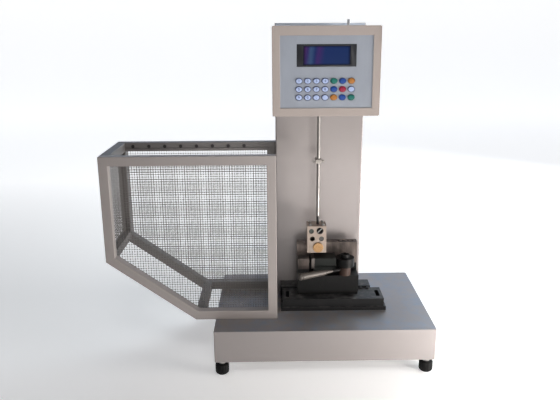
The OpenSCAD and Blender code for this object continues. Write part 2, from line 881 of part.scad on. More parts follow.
key(2, 6);  // key_26
key(2, 7);  // key_27
key(3, 1);  // key_31
key(3, 2);  // key_32
key(3, 3);  // key_33
key(3, 4);  // key_34
key(3, 5);  // key_35
key(3, 6);  // key_36
key(3, 7);  // key_37
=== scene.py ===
"""Dresses the pendulum impact tester: enamelled housings, a woven wire guard, ground steel and a lit display.

Lengths in the classes are millimetres in the working frame of the part's source: X from the middle of the
base, Y back from its front face, Z up from its top face. place() turns them into metres in the part's frame.
"""
import logging
import math
from dataclasses import dataclass
from enum import Enum
from typing import Iterable, Sequence

import bmesh
import bpy
from bmesh.types import BMEdge, BMesh, BMVert
from mathutils import Matrix, Vector


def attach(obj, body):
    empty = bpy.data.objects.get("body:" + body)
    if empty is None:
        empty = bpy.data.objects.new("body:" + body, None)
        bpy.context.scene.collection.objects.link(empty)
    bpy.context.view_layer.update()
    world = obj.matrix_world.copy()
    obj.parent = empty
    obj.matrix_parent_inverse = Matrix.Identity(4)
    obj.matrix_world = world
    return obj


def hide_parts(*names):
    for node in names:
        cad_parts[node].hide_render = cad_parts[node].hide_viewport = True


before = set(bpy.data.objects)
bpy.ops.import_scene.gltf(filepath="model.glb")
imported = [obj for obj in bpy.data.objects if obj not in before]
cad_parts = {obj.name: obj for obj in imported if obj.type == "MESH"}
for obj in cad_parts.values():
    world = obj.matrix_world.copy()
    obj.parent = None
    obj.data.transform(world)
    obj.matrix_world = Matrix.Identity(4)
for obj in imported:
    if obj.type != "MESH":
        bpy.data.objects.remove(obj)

log = logging.getLogger("impact_tester")
MM = 0.001
# Points nearer than WELD, in metres, are one; the three angles are in degrees.
WELD = 1e-6
SHARP_OVER = 30.0
SMOOTH_UNDER = 40.0
FLAT_UNDER = 0.5
EDGE_STEPS = 2
ORIGIN = Vector((104.5, -145.0, 95.0))
Triple = tuple[float, float, float]
Colour = Triple
Point = Sequence[float]
MADE: dict[str, bpy.types.Material] = {}


def place(x: float, y: float, z: float) -> Vector:
    """Turns a point of the working frame into metres in the frame of the part."""
    return (Vector((x, y, z)) + ORIGIN) * MM


def verts_of(geom: Iterable) -> list[BMVert]:
    """The vertices in what a bmesh operator hands back."""
    return [part for part in geom if isinstance(part, BMVert)]


def edges_of(geom: Iterable) -> list[BMEdge]:
    """The edges in what a bmesh operator hands back."""
    return [part for part in geom if isinstance(part, BMEdge)]


def edges_at(verts: Iterable[BMVert]) -> list[BMEdge]:
    """The edges that end at some vertices, each once and in their order."""
    return list(dict.fromkeys(edge for vert in verts for edge in vert.link_edges))


class Signal:
    """A shader socket that sums can be written on."""

    def __init__(self, graph: "Graph", socket: bpy.types.NodeSocket) -> None:
        """Keeps the socket and the graph that it belongs to."""
        self.graph = graph
        self.socket = socket

    def _math(self, operation: str, *values: "Signal | float") -> "Signal":
        """The result of a Math node with that operation and those inputs."""
        return self.graph.add("ShaderNodeMath", {"operation": operation}, dict(enumerate(values)))

    def __add__(self, other: "Signal | float") -> "Signal":
        """Sum."""
        return self._math("ADD", self, other)

    __radd__ = __add__

    def __sub__(self, other: "Signal | float") -> "Signal":
        """Difference."""
        return self._math("SUBTRACT", self, other)

    def __rsub__(self, other: float) -> "Signal":
        """Difference with a number in front."""
        return self._math("SUBTRACT", other, self)

    def __mul__(self, other: "Signal | float") -> "Signal":
        """Product."""
        return self._math("MULTIPLY", self, other)

    __rmul__ = __mul__

    def __truediv__(self, other: "Signal | float") -> "Signal":
        """Quotient."""
        return self._math("DIVIDE", self, other)

    def above(self, limit: float) -> "Signal":
        """1 where the value is over the limit, and else 0."""
        return self._math("GREATER_THAN", self, limit)

    def absolute(self) -> "Signal":
        """The value without its sign."""
        return self._math("ABSOLUTE", self)

    def wave(self) -> "Signal":
        """The value's sine."""
        return self._math("SINE", self)

    def repeat(self, step: float) -> "Signal":
        """Where the value stands inside its step, from 0 to 1."""
        return self._math("FRACT", self / step)

    def ramp(self, low: float, high: float) -> "Signal":
        """0 below low, 1 above high and a straight line between."""
        inputs = {0: self, 1: low, 2: high, 3: 0.0, 4: 1.0}
        return self.graph.add("ShaderNodeMapRange", {"clamp": True}, inputs)


class Graph:
    """The node tree of one material."""

    def __init__(self, name: str) -> None:
        """Makes a material with one Principled shader.

        Args:
            name: the material's name.
        """
        self.material = bpy.data.materials.new(name)
        self.material.use_nodes = True
        self.tree = self.material.node_tree
        self.tree.nodes.clear()
        self.shader = self.tree.nodes.new("ShaderNodeBsdfPrincipled")
        output = self.tree.nodes.new("ShaderNodeOutputMaterial")
        self.tree.links.new(self.shader.outputs[0], output.inputs[0])

    def add(self, kind: str, settings: dict, inputs: dict, output: int | str = 0) -> Signal:
        """Adds any node.

        Args:
            kind: the node's type name.
            settings: its settings, set first; "stops" holds a ramp's (place, colour) pairs.
            inputs: values or signals, by the socket's number or name.
            output: the socket that the result is read from.

        Returns:
            That output.
        """
        node = self.tree.nodes.new(kind)
        for key, value in settings.items():
            if key == "stops":
                elements = node.color_ramp.elements
                while len(elements) < len(value):
                    elements.new(0.5)
                for element, (spot, colour) in zip(elements, value):
                    element.position, element.color = spot, (*colour, 1.0)
            else:
                setattr(node, key, value)
        for key, value in inputs.items():
            self.feed(node.inputs[key], value)
        return Signal(self, node.outputs[output])

    def feed(self, socket: bpy.types.NodeSocket, value: "Signal | float | Point") -> None:
        """Links a signal to a socket, or sets a plain value on it.

        Args:
            socket: the input.
            value: what it takes; a triple is a colour where the socket holds one.
        """
        if isinstance(value, Signal):
            self.tree.links.new(value.socket, socket)
        elif isinstance(value, (tuple, list)) and len(value) == 3 and socket.type == "RGBA":
            socket.default_value = (*value, 1.0)
        else:
            socket.default_value = value

    def coords(self, centre: Point = (0, 0, 0), scale: Point = (1, 1, 1)) -> Signal:
        """Object coordinates in metres.

        Args:
            centre: the point that the pattern is centred on.
            scale: stretch of the pattern.

        Returns:
            The coordinates.
        """
        source = self.add("ShaderNodeTexCoord", {}, {}, "Object")
        moved = self.add("ShaderNodeVectorMath", {"operation": "SUBTRACT"}, {0: source, 1: tuple(centre)})
        return self.add("ShaderNodeMapping", {}, {"Vector": moved, "Scale": tuple(scale)})

    def noise(self, at: Signal, scale: float, detail: float = 2.0, rough: float = 0.5) -> Signal:
        """A cloud pattern from 0 to 1; scale is in cells a metre."""
        inputs = {"Vector": at, "Scale": scale, "Detail": detail, "Roughness": rough}
        return self.add("ShaderNodeTexNoise", {}, inputs)

    def split(self, vector: Signal) -> list[Signal]:
        """Takes a vector apart.

        Args:
            vector: the vector.

        Returns:
            Its X, Y and Z.
        """
        node = self.tree.nodes.new("ShaderNodeSeparateXYZ")
        self.tree.links.new(vector.socket, node.inputs[0])
        return [Signal(self, out) for out in node.outputs]

    def facing(self) -> list[Signal]:
        """X, Y and Z of the way that the surface faces."""
        return self.split(self.add("ShaderNodeNewGeometry", {}, {}, "Normal"))

    def disc(self, x: Signal, z: Signal, spot: Point, radius: float) -> Signal:
        """1 inside a circle in X and Z, whose middle and radius are in millimetres, and else 0."""
        dx, dz = x - spot[0] * MM, z - spot[1] * MM
        return 1.0 - (dx * dx + dz * dz).above((radius * MM) ** 2)

    def blend(self, share: Signal | float, first: Signal | Colour, second: Signal | Colour,
              how: str = "MIX") -> Signal:
        """Mixes two colours by a share from 0 to 1."""
        settings = {"data_type": "RGBA", "blend_type": how}
        return self.add("ShaderNodeMix", settings, {0: share, 6: first, 7: second}, 2)

    def shade(self, colour: Signal | Colour, light: Signal) -> Signal:
        """A colour times a brightness."""
        return self.blend(1.0, colour, light, "MULTIPLY")

    def base_colour(self) -> Signal:
        """What feeds the shader's colour so far."""
        return Signal(self, self.shader.inputs["Base Color"].links[0].from_socket)

    def bump(self, height: Signal, depth_mm: float) -> Signal:
        """A normal from a height pattern that is depth_mm deep."""
        inputs = {"Strength": 1.0, "Distance": depth_mm * MM, "Height": height}
        return self.add("ShaderNodeBump", {}, inputs, "Normal")

    def set(self, **values: "Signal | float | Point") -> None:
        """Sets the shader's sockets by name, with _ for a space."""
        for key, value in values.items():
            self.feed(self.shader.inputs[key.replace("_", " ")], value)


@dataclass(frozen=True)
class Finish:
    """A surface finish; paint() is called once for each name."""

    name: str
    colour: Colour

    def paint(self, g: Graph) -> None:
        """Wires the shader.

        Args:
            g: the material's graph.
        """
        raise NotImplementedError

    def material(self) -> bpy.types.Material:
        """Makes the material at its first use.

        Returns:
            The material of this finish.
        """
        if self.name not in MADE:
            graph = Graph(self.name)
            self.paint(graph)
            MADE[self.name] = graph.material
        return MADE[self.name]


@dataclass(frozen=True)
class Enamel(Finish):
    """Sprayed paint on metal: fine orange peel, slow drift of tone, and a tint on faces that look up: a fine
    dusting, which on the base is bluish, a painted reflection of the sky.

    Over the given height, the faces that look ahead are paler: painted light on the column's face where it
    shows over the box.
    """

    roughness: float = 0.42
    metallic: float = 0.0
    flake: float = 0.05
    drift: float = 0.08
    peel_mm: float = 0.012
    up_tint_share: float = 0.25
    up_tint: Colour = (0.36, 0.35, 0.33)
    painted_light_above: float = 1000.0
    pale: Colour = (0.62, 0.68, 0.78)

    def paint(self, g: Graph) -> None:
        """Wires the shader.

        Args:
            g: the material's graph.
        """
        at = g.coords()
        drift = g.noise(at, 7.0, 3.0)
        speck = g.noise(at, 2600.0, 1.0)
        paint = g.shade(self.colour, 1.0 + (drift - 0.5) * self.drift + (speck - 0.5) * self.flake)
        _, back, up = g.facing()
        # Tint on faces that look up: a fine dusting; on the base its bluish colour is a painted reflection of
        # the sky.
        up_tinted = up.ramp(0.4, 1.0) * g.noise(at, 38.0, 5.0, 0.65).ramp(0.42, 0.75) * self.up_tint_share
        # Painted light: faces that look ahead over the given height take the pale colour.
        over = g.split(g.coords(place(0, 0, self.painted_light_above)))[2].above(0.0)
        head = over * (back * -1.0).above(0.9)
        colour = g.blend(head, g.blend(up_tinted, paint, self.up_tint), self.pale)
        rough = self.roughness + (g.noise(at, 55.0, 3.0) - 0.5) * 0.12 + up_tinted * 0.3
        height = g.noise(at, 420.0, 2.0) * 0.8 + speck * 0.2
        g.set(Base_Color=colour, Roughness=rough, Metallic=self.metallic,
              Normal=g.bump(height, self.peel_mm))


class Lay(Enum):
    """Which way a machined surface is brushed."""

    ALONG_X = (1.0, 60.0, 60.0)
    ALONG_Z = (60.0, 60.0, 1.0)


@dataclass(frozen=True)
class Ground(Finish):
    """Ground or brushed bare metal with fine lines along one way."""

    lay: Lay = Lay.ALONG_Z
    roughness: float = 0.32
    line_mm: float = 0.006
    stain: float = 0.18
    stain_tint: Colour = (0.20, 0.17, 0.14)

    def paint(self, g: Graph) -> None:
        """Wires the shader.

        Args:
            g: the material's graph.
        """
        lines = g.noise(g.coords(scale=self.lay.value), 55.0, 4.0, 0.7)
        stain = g.noise(g.coords(), 60.0, 4.0, 0.6).ramp(0.45, 0.8)
        colour = g.blend(stain * self.stain, g.shade(self.colour, 0.9 + lines * 0.2), self.stain_tint)
        rough = self.roughness + (lines - 0.5) * 0.2 + stain * 0.12
        g.set(Base_Color=colour, Roughness=rough, Metallic=1.0, Normal=g.bump(lines, self.line_mm))


@dataclass(frozen=True)
class Bored(Ground):
    """Ground metal whose round bores, given as X, Z and radius, are darkened with painted shade."""

    bores: tuple[Triple, ...] = ()
    recess_shade: Colour = (0.035, 0.032, 0.028)

    def paint(self, g: Graph) -> None:
        """Wires the shader.

        Args:
            g: the material's graph.
        """
        super().paint(g)
        x, _, z = g.split(g.coords(place(0, 0, 0)))
        # Painted shade: the bores darkened, thinned a little by noise.
        inside: Signal | float = 0.0
        for *spot, radius in self.bores:
            inside = inside + g.disc(x, z, spot, radius)
        thin = g.noise(g.coords(), 500.0, 2.0) * 0.3
        g.set(Base_Color=g.blend(inside * (1.0 - thin), g.base_colour(), self.recess_shade))


@dataclass(frozen=True)
class Pinned(Ground):
    """The pins and the screw in the hammer's bores, each with a tone of its own, and a painted highlight
    along the screw's slot.

    A pin is given as X, Z, radius and colour, and the slot as its X, Z and width; it runs at 45 degrees.
    """

    pins: tuple[tuple[float, float, float, Colour], ...] = ()
    slot: Triple = (0.0, 0.0, 0.0)
    slot_highlight: Colour = (0.30, 0.30, 0.29)
    head_r: float = 7.0

    def paint(self, g: Graph) -> None:
        """Wires the shader.

        Args:
            g: the material's graph.
        """
        super().paint(g)
        x, _, z = g.split(g.coords(place(0, 0, 0)))
        colour = g.base_colour()
        for *spot, radius, tone in self.pins:
            colour = g.blend(g.disc(x, z, spot, radius), colour, tone)
        # Painted highlight: a bright band across the screw's head along its slot.
        slot_x, slot_z, width = self.slot
        aside = (x - slot_x * MM) - (z - slot_z * MM)
        slot = 1.0 - aside.absolute().above(width * MM / math.sqrt(2))
        head = g.disc(x, z, (slot_x, slot_z), self.head_r)
        g.set(Base_Color=g.blend(slot * head, colour, self.slot_highlight))


@dataclass(frozen=True)
class Banded(Finish):
    """The clamp's cam: a bronze hub below, an enamelled disc, and an oiled screw head on top."""

    disc: Colour = (0.02, 0.02, 0.02)
    head: Colour = (0.03, 0.03, 0.03)
    worn: Colour = (0.2, 0.17, 0.15)
    disc_z: float = 87.0
    head_z: float = 105.1
    grain_mm: float = 0.015

    def paint(self, g: Graph) -> None:
        """Wires the shader.

        Args:
            g: the material's graph.
        """
        at = g.coords(place(0, 0, 0))
        height = g.split(at)[2]
        grain = g.noise(at, 700.0, 2.0)
        disc, head = height.above(self.disc_z * MM), height.above(self.head_z * MM)
        colour = g.blend(head, g.blend(disc, self.colour, self.disc), self.head)
        rub = g.noise(at, 60.0, 5.0, 0.7).ramp(0.5, 0.8) * 0.08
        rough = 0.4 + (grain - 0.5) * 0.2
        g.set(Base_Color=g.blend(rub, colour, self.worn), Roughness=rough,
              Specular_IOR_Level=0.1, Normal=g.bump(grain, self.grain_mm))


@dataclass(frozen=True)
class Turned(Finish):
    """Metal turned on a lathe, with cloudy stains: rings round an axis that runs along Y."""

    centre: Triple = (0.0, 0.0, 0.0)
    roughness: float = 0.3
    ring_mm: float = 0.55
    stained: float = 0.45

    def paint(self, g: Graph) -> None:
        """Wires the shader.

        Args:
            g: the material's graph.
        """
        at = g.coords(place(*self.centre))
        x, _, z = g.split(at)
        radius = g.add("ShaderNodeMath", {"operation": "SQRT"}, {0: x * x + z * z})
        rings = (radius * (2 * math.pi / (self.ring_mm * MM))).wave() * 0.5 + 0.5
        cloud = g.noise(at, 420.0, 4.0, 0.65)
        dull = tuple(self.stained * c for c in self.colour)
        colour = g.blend(cloud.ramp(0.42, 0.72) * 0.75, self.colour, dull)
        rough = self.roughness + rings * 0.08 + (cloud - 0.5) * 0.3
        g.set(Base_Color=colour, Roughness=rough, Metallic=1.0,
              Normal=g.bump(rings + cloud * 2.0, 0.01))


@dataclass(frozen=True)
class Blackened(Finish):
    """Black enamel or oxide on steel, a little worn, paler on faces that look up, with a painted warm brown
    reflection over a given height.
    """

    roughness: float = 0.38
    wear: float = 0.04
    bare: Colour = (0.25, 0.23, 0.22)
    grain_mm: float = 0.02
    shine: float = 0.2
    up_tint_share: float = 0.1
    up_tint: Colour = (0.30, 0.29, 0.28)
    reflection_above: float = 1000.0
    reflection_edge: float = 3.0
    warm_reflection: Colour = (0.176, 0.142, 0.126)

    def paint(self, g: Graph) -> None:
        """Wires the shader.

        Args:
            g: the material's graph.
        """
        at = g.coords()
        rub = g.noise(at, 34.0, 6.0, 0.7).ramp(0.52, 0.78)
        grain = g.noise(at, 900.0, 2.0)
        # Paler tint on faces that look up.
        up_tint_share = g.facing()[2].ramp(0.3, 1.0) * g.noise(at, 90.0, 4.0).ramp(0.4, 0.8) * self.up_tint_share
        worn = g.blend(rub * self.wear, g.shade(self.colour, 0.8 + grain * 0.4), self.bare)
        # Painted reflection: a warm brown cloud over the given height, on the vise's wall.
        height = g.split(g.coords(place(0, 0, self.reflection_above)))[2].ramp(0.0, self.reflection_edge * MM)
        reflection_haze = g.noise(g.coords(scale=(1.0, 1.0, 0.3)), 40.0, 4.0).ramp(0.3, 0.7)
        worn = g.blend(height * reflection_haze, worn, self.warm_reflection)
        rough = self.roughness + (grain - 0.5) * 0.25 + up_tint_share
        g.set(Base_Color=g.blend(up_tint_share, worn, self.up_tint), Roughness=rough, Metallic=0.0,
              Specular_IOR_Level=self.shine, Normal=g.bump(grain, self.grain_mm))


@dataclass(frozen=True)
class Moulded(Finish):
    """Moulded plastic or rubber with a fine spark grain."""

    roughness: float = 0.5
    grain_mm: float = 0.02
    shine: float = 0.5

    def paint(self, g: Graph) -> None:
        """Wires the shader.

        Args:
            g: the material's graph.
        """
        at = g.coords()
        grain = g.noise(at, 1500.0, 2.0)
        cloud = g.noise(at, 80.0, 3.0)
        colour = g.shade(self.colour, 0.92 + cloud * 0.16)
        rough = self.roughness + (grain - 0.5) * 0.15 + (cloud - 0.5) * 0.1
        g.set(Base_Color=colour, Roughness=rough, Specular_IOR_Level=self.shine,
              Normal=g.bump(grain, self.grain_mm))


@dataclass(frozen=True)
class PrintedFilm(Finish):
    """The pale blue printed film of the front panel, with the fine texture of polyester."""

    rubbed: Colour = (0.26, 0.31, 0.37)

    def paint(self, g: Graph) -> None:
        """Wires the shader.

        Args:
            g: the material's graph.
        """
        at = g.coords()
        cloud = g.noise(g.coords(scale=(1.0, 1.0, 0.35)), 45.0, 4.0, 0.6)
        grain = g.noise(at, 1800.0, 2.0)
        rub = g.noise(at, 12.0, 3.0).ramp(0.45, 0.75) * 0.14
        colour = g.blend(rub, g.shade(self.colour, 0.88 + cloud * 0.24), self.rubbed)
        g.set(Base_Color=colour, Roughness=0.46 + (grain - 0.5) * 0.16, Normal=g.bump(grain, 0.012))


@dataclass(frozen=True)
class DotDisplay(Finish):
    """A backlit blue dot display under tinted glass: dots that glow faintly, and streaks of colour that are
    painted reflections, glowing with them.

    The stops are places across the screen, from 0 to 1, with the colour of the painted reflection there.
    """

    low: Triple = (0.0, 0.0, 0.0)
    high: Triple = (1.0, 1.0, 1.0)
    dot_mm: float = 0.7
    dot: Colour = (0.05, 0.12, 0.40)
    rim: Colour = (0.002, 0.002, 0.006)
    glow: float = 0.6
    stops: tuple[tuple[float, Colour], ...] = (
        (0.0, (0.110, 0.008, 0.070)), (0.07, (0.055, 0.010, 0.090)), (0.15, (0.060, 0.110, 0.190)),
        (0.25, (0.012, 0.018, 0.085)), (0.33, (0.075, 0.008, 0.100)), (0.44, (0.010, 0.020, 0.085)),
        (1.0, (0.010, 0.024, 0.080)))

    def paint(self, g: Graph) -> None:
        """Wires the shader.

        Args:
            g: the material's graph.
        """
        corner = place(*self.low)
        size = (Vector(self.high) - Vector(self.low)) * MM
        x, _, z = g.split(g.coords(corner))
        across, up = x / size.x, z / size.z
        column, row = ((way.repeat(self.dot_mm * MM) - 0.5).absolute().ramp(0.5, 0.38) for way in (x, z))
        # Painted reflection: streaks of colour across the glass, added to the glow.
        cloud = g.noise(g.coords(corner, scale=(1.0, 1.0, 0.3)), 60.0, 3.0)
        reflection_streak = across + (cloud - 0.5) * 0.16 - (up - 0.5) * 0.05
        tint = g.add("ShaderNodeValToRGB", {"stops": self.stops}, {0: reflection_streak})
        lit = g.blend(0.25 * (column * row), tint, self.dot)
        edge = (across - 0.5).absolute().ramp(0.5, 0.44) * (up - 0.5).absolute().ramp(0.5, 0.40)
        g.set(Base_Color=self.colour, Emission_Color=g.blend(edge, self.rim, lit),
              Emission_Strength=self.glow, Roughness=0.12)


@dataclass(frozen=True)
class TintedPane(Finish):
    """The black border of the display's window: glossy, with faint smears."""

    def paint(self, g: Graph) -> None:
        """Wires the shader.

        Args:
            g: the material's graph.
        """
        smear = g.noise(g.coords(scale=(1.0, 1.0, 0.3)), 70.0, 4.0)
        colour = g.blend(smear, self.colour, tuple(1.6 * c for c in self.colour))
        g.set(Base_Color=colour, Roughness=0.16 + smear * 0.16)


@dataclass(frozen=True)
class Backdrop(Finish):
    """The pale floor and wall of the studio, which glow so that they stay white far behind the machine.

    The glow grows from near_y to far_y and turns to high_glow from low_z to high_z, all in metres.
    """

    near_glow: float = 0.32
    far_glow: float = 0.82
    near_y: float = 0.25
    far_y: float = 1.5
    low_z: float = 1.0
    high_z: float = 1.8
    high_glow: Colour = (0.49, 0.62, 0.86)

    def paint(self, g: Graph) -> None:
        """Wires the shader.

        Args:
            g: the material's graph.
        """
        at = g.coords()
        pale = g.shade(self.colour, 0.985 + g.noise(at, 0.7, 2.0) * 0.03)
        _, y, z = g.split(at)
        far = y.ramp(self.near_y, self.far_y)
        glow = g.shade(pale, self.near_glow + far * (self.far_glow - self.near_glow))
        glow = g.blend(z.ramp(self.low_z, self.high_z), glow, self.high_glow)
        g.set(Base_Color=pale, Roughness=0.9, Emission_Color=glow, Emission_Strength=1.0)


# The column's enamel paints light on its face over the box's top, where it shows over the box.
SILVER = Enamel("silver_enamel", (0.32, 0.292, 0.284), roughness=0.36, metallic=0.35, painted_light_above=563.0)
# The base's bluish tint on faces that look up is a painted reflection of the sky over a fine dusting.
BASE_PAINT = Enamel("base_enamel", (0.315, 0.288, 0.28), roughness=0.34, metallic=0.35, up_tint_share=0.65,
                    up_tint=(0.245, 0.33, 0.46))
BOX_PAINT = Enamel("box_enamel", (0.375, 0.322, 0.293), roughness=0.5)
GUARD_PAINT = Enamel("guard_enamel", (0.34, 0.305, 0.29), roughness=0.45, metallic=0.2)
# A darker copy of the guard's enamel: painted shade on the rear frame, the cross bars and the strips round
# the mesh.
GUARD_SHADED = Enamel("guard_enamel_dark", (0.168, 0.156, 0.150), roughness=0.5, metallic=0.2)
PANEL_FILM = PrintedFilm("panel_film", (0.285, 0.308, 0.352))
PANE = TintedPane("pane_border", (0.02, 0.021, 0.024))
STEEL = Ground("plain_steel", (0.60, 0.58, 0.56), Lay.ALONG_X)
ROD_STEEL = Ground("rod_steel", (0.235, 0.222, 0.21), Lay.ALONG_Z, roughness=0.34, line_mm=0.002, stain=0.1)
LEVER_GRIP = Enamel("grip_enamel", (0.090, 0.079, 0.070), roughness=0.5, metallic=0.3, peel_mm=0.02, up_tint_share=0.0)
ALUMINIUM = Ground("turned_aluminium", (0.72, 0.72, 0.73), Lay.ALONG_X, roughness=0.35)
WIRE = Enamel("drawn_wire", (0.19, 0.176, 0.166), roughness=0.5, metallic=0.4, flake=0.1, up_tint_share=0.0)
# Over 82 mm the vise body takes a painted warm brown reflection.
VISE_BLACK = Blackened("vise_enamel", (0.0045, 0.0045, 0.0045), roughness=0.42, reflection_above=82.0)
SLAB_BLACK = Blackened("slab_enamel", (0.0095, 0.0095, 0.0100), roughness=0.42, shine=0.3, up_tint_share=0.5)
OXIDE = Blackened("oxide_black", (0.014, 0.013, 0.013), roughness=0.34, wear=0.1)
SCREW_BLACK = Blackened("screw_black", (0.034, 0.032, 0.031), roughness=0.4)
CATCH_STEEL = Enamel("catch_plating", (0.34, 0.315, 0.29), roughness=0.4, metallic=0.7, up_tint_share=0.0)
LATCH_PLATE = Enamel("latch_plating", (0.56, 0.57, 0.60), roughness=0.3, metallic=0.4, up_tint_share=0.0)
JAW_BLACK = Blackened("jaw_enamel", (0.012, 0.0135, 0.012), roughness=0.42)
JAW_STEEL = Ground("jaw_steel", (0.20, 0.18, 0.17), Lay.ALONG_Z, roughness=0.5, stain=0.4)
CAM = Banded("cam_bands", (0.048, 0.030, 0.024), disc=(0.005, 0.005, 0.005), head=(0.008, 0.008, 0.008))
RUBBER = Moulded("pad_rubber", (0.005, 0.005, 0.005), roughness=0.6, shine=0.15)
BLACK_PLASTIC = Moulded("dark_plastic", (0.02, 0.02, 0.02), roughness=0.45)
KEY_RIM = Moulded("key_rim", (0.015, 0.03, 0.13), roughness=0.4)
KEY_INK = Moulded("key_ink", (0.02, 0.035, 0.14), roughness=0.5)
FLOOR = Backdrop("pale_sweep", (0.95, 0.95, 0.95))

# X and Z of the bores in the hammer's face, and the radius of the three small ones.
TOP_PIN = (-21.6, 166.6)
TOP_SCREW = (-4.5, 167.5)
LOW_BORE = (-19.5, 150.7)
LOW_PIN = (-1.3, 150.5)
PIN_R = 5.1
PIN_STEEL = Pinned("pin_steel", (0.36, 0.36, 0.35), Lay.ALONG_X, roughness=0.35, stain=0.4, pins=(
    (*TOP_PIN, PIN_R, (0.075, 0.082, 0.075)), (*TOP_SCREW, 7.0, (0.012, 0.012, 0.012)),
    (*LOW_PIN, PIN_R, (0.11, 0.105, 0.10))), slot=(*TOP_SCREW, 2.4))
HAMMER_STEEL = Bored("ground_hammer", (0.37, 0.305, 0.26), Lay.ALONG_X, roughness=0.38, stain=0.3, bores=(
    (*TOP_PIN, PIN_R), (*TOP_SCREW, 6.9), (*LOW_BORE, PIN_R), (*LOW_PIN, PIN_R)))


def key_cap(name: str, colour: Colour) -> Moulded:
    """The plastic of a key's cap."""
    return Moulded(name, colour, roughness=0.4, grain_mm=0.004)


class KeyColour(Enum):
    """The caps of the keys."""

    WHITE = key_cap("white_cap", (0.37, 0.45, 0.66))
    GREEN = key_cap("green_cap", (0.002, 0.125, 0.100))
    BLUE = key_cap("blue_cap", (0.004, 0.048, 0.25))
    ORANGE = key_cap("orange_cap", (0.36, 0.14, 0.02))
    RED = key_cap("red_cap", (0.27, 0.004, 0.035))


class Form:
    """A bmesh in metres, filled with shapes that are given in millimetres of the working frame."""

    def __init__(self) -> None:
        """Starts empty."""
        self.bm = bmesh.new()

    def block(self, low: Point, high: Point) -> None:
        """Adds a box.

        Args:
            low: one corner.
            high: the corner across from it.
        """
        a, b = place(*low), place(*high)
        matrix = Matrix.Translation((a + b) / 2) @ Matrix.Diagonal((*(b - a), 1.0))
        bmesh.ops.create_cube(self.bm, size=1.0, matrix=matrix)

    def move(self, matrix: Matrix) -> None:
        """Moves all of the form."""
        bmesh.ops.transform(self.bm, matrix=matrix, verts=self.bm.verts)

    def lathe(self, profile: Iterable[Point], foot: Point, axis: Point, segments: int) -> None:
        """Spins a profile.

        Args:
            profile: (radius, height) pairs in millimetres, from one end of the axis to the other.
            foot: the point of the working frame where the height is 0.
            axis: the direction of the height.
            segments: steps of the full turn.
        """
        shape = bmesh.new()
        verts = [shape.verts.new((r * MM, 0.0, h * MM)) for r, h in profile]
        edges = [shape.edges.new(pair) for pair in zip(verts, verts[1:])]
        bmesh.ops.spin(shape, geom=verts + edges, cent=(0, 0, 0), axis=(0, 0, 1), angle=2 * math.pi,
                       steps=segments, use_merge=True)
        bmesh.ops.remove_doubles(shape, verts=shape.verts, dist=WELD)
        turn = Vector(axis).to_track_quat("Z", "Y").to_matrix().to_4x4()
        bmesh.ops.transform(shape, matrix=Matrix.Translation(place(*foot)) @ turn, verts=shape.verts)
        self.take(shape)

    def take(self, other: BMesh) -> None:
        """Adds another bmesh's faces and frees it.

        Args:
            other: the bmesh, in metres.
        """
        mesh = bpy.data.meshes.new("passing")
        other.to_mesh(mesh)
        other.free()
        self.bm.from_mesh(mesh)
        bpy.data.meshes.remove(mesh)

    def soften(self, width: float) -> None:
        """Bevels every sharp edge.

        Args:
            width: the bevel's width in millimetres.
        """
        self.bm.normal_update()
        edges = [e for e in self.bm.edges if len(e.link_faces) == 2
                 and e.calc_face_angle(0.0) > math.radians(SHARP_OVER)]
        bmesh.ops.bevel(self.bm, geom=edges, offset=width * MM, offset_type="OFFSET", segments=EDGE_STEPS,
                        profile=0.5, affect="EDGES", clamp_overlap=True, material=-1)

    def piece(self, name: str, body: str, finish: Finish, replaces: Sequence[str] = (),
              smooth_under: float = SMOOTH_UNDER) -> None:
        """Turns the form into a finished object.

        Args:
            name: the object's name.
            body: the body that it rides on.
            finish: its finish.
            replaces: the CAD nodes that it stands for.
            smooth_under: edges flatter than this angle are shaded smooth.
        """
        bmesh.ops.recalc_face_normals(self.bm, faces=self.bm.faces)
        mesh = bpy.data.meshes.new(name)
        self.bm.to_mesh(mesh)
        self.bm.free()
        mesh.shade_smooth()
        mesh.set_sharp_from_angle(angle=math.radians(smooth_under))
        mesh.materials.append(finish.material())
        thing = bpy.data.objects.new(name, mesh)
        bpy.context.scene.collection.objects.link(thing)
        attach(thing, body)
        if replaces:
            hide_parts(*replaces)
        log.info("%s: %d faces on %s", name, len(mesh.polygons), body)


def dress(node: str, finish: Finish, edge: float) -> None:
    """Gives a CAD node its finish and, where its edges show, softened edges.

    Args:
        node: the node's name.
        finish: its finish.
        edge: width of the softened edges in millimetres, or 0 for none.
    """
    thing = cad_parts[node]
    thing.data.materials.clear()
    thing.data.materials.append(finish.material())
    weld = thing.modifiers.new("weld", "WELD")
    weld.merge_threshold = WELD
    if edge:
        flat = thing.modifiers.new("flat", "DECIMATE")
        flat.decimate_type = "DISSOLVE"
        flat.angle_limit = math.radians(FLAT_UNDER)
        bevel = thing.modifiers.new("edge", "BEVEL")
        bevel.width = edge * MM
        bevel.segments = EDGE_STEPS
        bevel.limit_method = "ANGLE"
        bevel.angle_limit = math.radians(SMOOTH_UNDER)
        thing.modifiers.new("even", "WEIGHTED_NORMAL")
    else:
        split = thing.modifiers.new("split", "EDGE_SPLIT")
        split.split_angle = math.radians(SMOOTH_UNDER)
    thing.data.shade_smooth()
    log.info("%s keeps its solid, finish %s", node, finish.name)


def dress_all(rows: Iterable[tuple[str, Finish, float]]) -> None:
    """Dresses the nodes of a table of names, finishes and widths of softened edges."""
    for row in rows:
        dress(*row)


